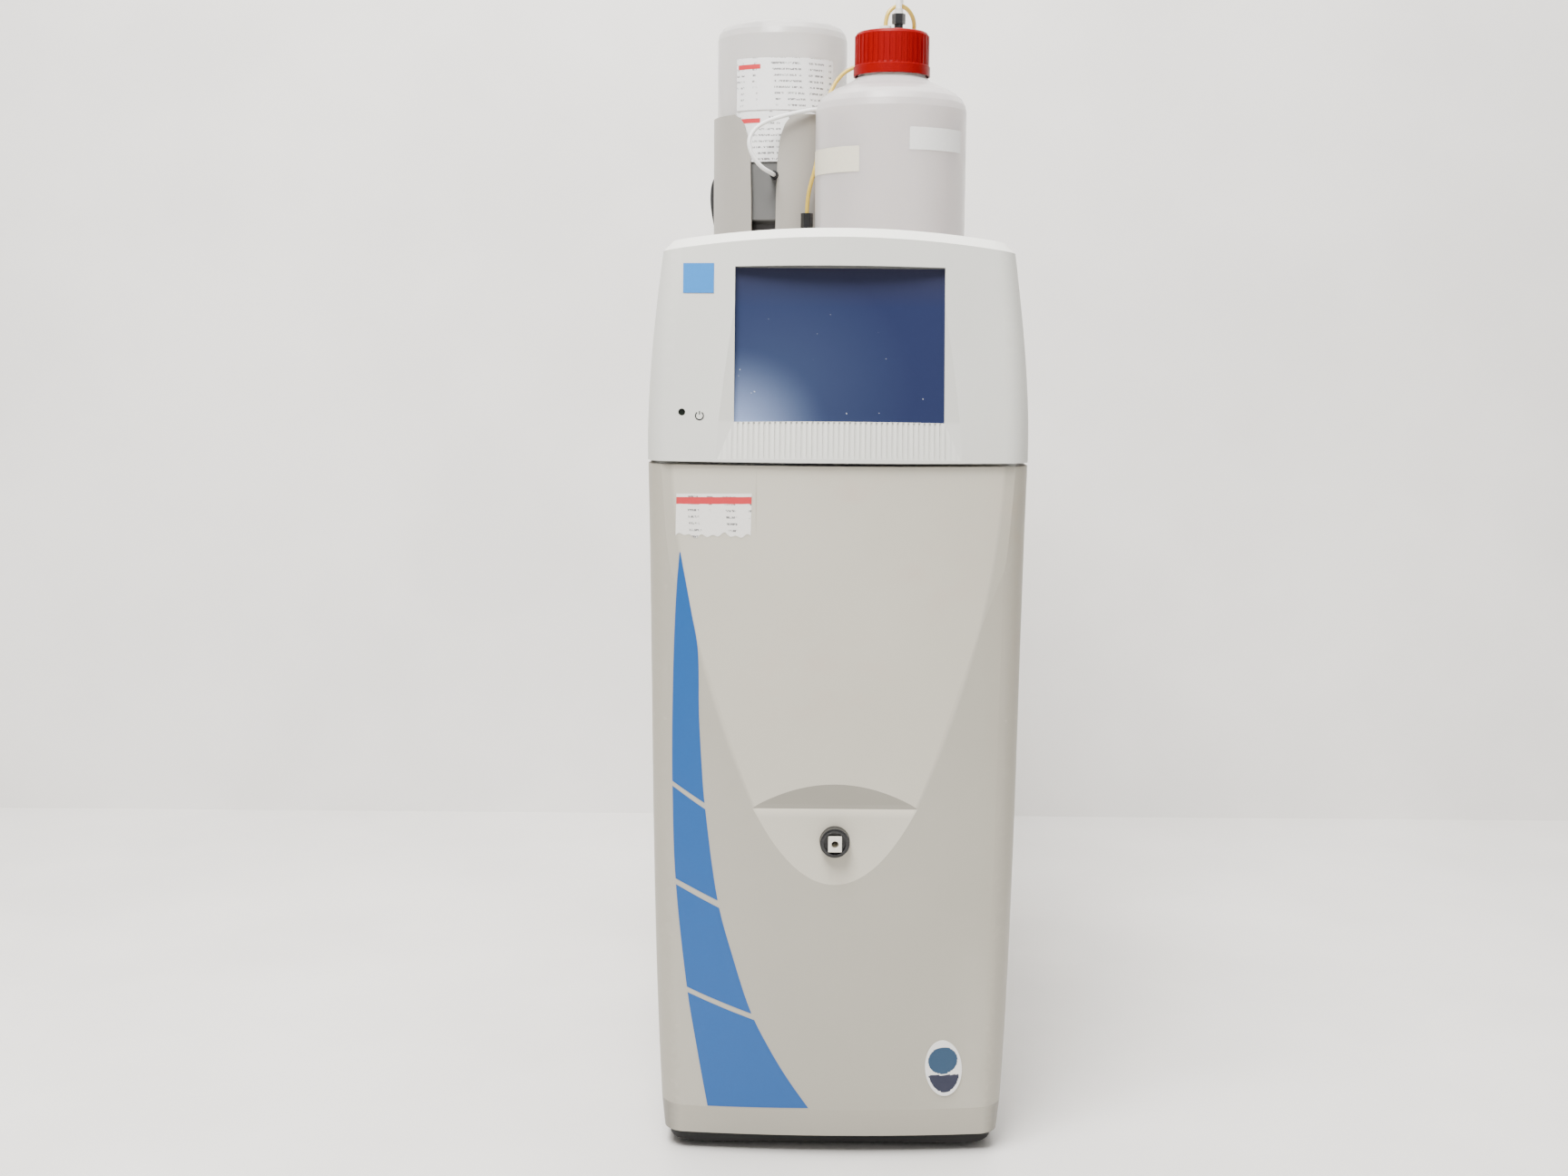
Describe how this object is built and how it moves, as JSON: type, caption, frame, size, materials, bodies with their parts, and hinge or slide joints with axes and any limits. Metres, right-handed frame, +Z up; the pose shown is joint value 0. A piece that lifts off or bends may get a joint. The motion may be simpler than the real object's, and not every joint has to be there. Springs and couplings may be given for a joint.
{
  "type": "ion chromatograph",
  "caption": "Tall benchtop liquid analyser: tilting display hood over a swinging front door, fluid parts behind it, and a top tray with an eluent bottle and a generator cartridge.",
  "frame": {"origin": "on the table, under the middle of the cabinet's outline", "axes": "+Z up, the door and the display face -Y, +X to the right of someone who faces the door"},
  "size_m": [0.226, 0.5394, 0.792],
  "materials": {
    "hood_plastic": "fine textured satin",
    "door_plastic": "fine textured satin",
    "side_paint": "fine textured paint",
    "base_plastic": "matt black",
    "foot_rubber": "matt",
    "galvanised_sheet": "plain sheet",
    "deck_plastic": "satin",
    "bay_paint": "satin paint",
    "tray_plastic": "satin",
    "fluid_polymer": "tan wetted polymer, satin",
    "cast_body": "bead blasted",
    "steel_part": "machined",
    "black_plastic": "satin black",
    "column_polymer": "satin",
    "suppressor_blue": "satin gloss",
    "foam_grey": "matt",
    "circuit_green": "solder mask",
    "bottle_clear": "frosted translucent",
    "cap_red": "moulded gloss",
    "stopper_white": "satin",
    "holder_grey": "satin",
    "cell_grey": "satin",
    "tube_white": "milky",
    "tube_yellow": "translucent",
    "cable_black": "matt sheath",
    "lamp_dark": "smoked",
    "screen_blue": "dark display glass",
    "hinge_steel": "plated"
  },
  "bodies": {
    "cabinet": {"base_pan": "base_plastic", "rubber_feet": "foot_rubber", "left_side_panel": "side_paint", "right_side_panel": "side_paint", "rear_panel": "side_paint", "reservoir_tray": "deck_plastic", "tray_grommets": "foot_rubber", "component_bay": "bay_paint", "drip_tray": "tray_plastic", "pump_housing": "cast_body", "primary_pump_head": "fluid_polymer", "secondary_pump_head": "fluid_polymer", "check_valves": "steel_part", "pressure_transducer": "fluid_polymer", "injection_valve": "fluid_polymer", "valve_actuator": "cast_body", "sample_loop": "tube_white", "column_heater": "foam_grey", "separator_column": "column_polymer", "guard_column": "column_polymer", "column_clips": "black_plastic", "suppressor": "suppressor_blue", "conductivity_cell": "black_plastic", "trap_column": "column_polymer", "power_supply": "galvanised_sheet", "control_board": "circuit_green", "fan_frame": "black_plastic", "fan_guard": "steel_part", "power_inlet": "black_plastic", "signal_connectors": "black_plastic", "eluent_bottle": "bottle_clear", "bottle_stopper": "stopper_white", "line_fittings": "black_plastic", "cartridge_bottle": "bottle_clear", "cartridge_base": "cell_grey", "cartridge_holder": "holder_grey", "gas_line": "tube_white", "eluent_line": "tube_yellow", "feed_line": "tube_yellow", "cartridge_line": "tube_white", "cartridge_cable": "cable_black", "frame_hinge_leaves": "hinge_steel", "door_catch": "black_plastic", "hood_hinge_brackets": "hinge_steel"},
    "door": {"door_shell": "door_plastic", "door_liner": "galvanised_sheet", "injection_port": "black_plastic", "luer_fitting": "stopper_white", "catch_plate": "steel_part", "door_hinge_leaves": "hinge_steel"},
    "hood": {"hood_shell": "hood_plastic", "lcd_panel": "screen_blue", "display_board": "circuit_green", "power_lamp": "lamp_dark", "hood_hinge_pins": "hinge_steel"},
    "waste_knob": {"waste_valve_knob": "black_plastic"},
    "priming_knob": {"priming_valve_knob": "black_plastic"},
    "fan": {"fan_rotor": "black_plastic"},
    "switch": {"rocker_switch": "black_plastic"},
    "cap": {"bottle_cap": "cap_red"}
  },
  "joints": [
    {"name": "door_swing", "type": "hinge", "parent": "cabinet", "child": "door", "pos_m": [-0.1055, -0.2, 0.25], "axis": [0, 0, -1], "range_deg": [0, 105]},
    {"name": "hood_tilt", "type": "hinge", "parent": "cabinet", "child": "hood", "pos_m": [0, -0.18, 0.535], "axis": [-1, 0, 0], "range_deg": [0, 25]},
    {"name": "waste_valve_turn", "type": "hinge", "parent": "cabinet", "child": "waste_knob", "pos_m": [0.04, -0.18, 0.106], "axis": [0, -1, 0], "range_deg": [0, 180]},
    {"name": "priming_valve_turn", "type": "hinge", "parent": "cabinet", "child": "priming_knob", "pos_m": [-0.016, -0.184, 0.108], "axis": [0, -1, 0], "range_deg": [0, 180]},
    {"name": "fan_spin", "type": "hinge", "parent": "cabinet", "child": "fan", "pos_m": [-0.045, 0.25, 0.33], "axis": [0, 1, 0], "continuous": true},
    {"name": "power_switch_rock", "type": "hinge", "parent": "cabinet", "child": "switch", "pos_m": [-0.033, 0.2592, 0.066], "axis": [1, 0, 0], "range_deg": [0, 8]},
    {"name": "cap_turn", "type": "hinge", "parent": "cabinet", "child": "cap", "pos_m": [0.0446, 0.069, 0.705], "axis": [0, 0, 1], "range_deg": [0, 330]}
  ]
}
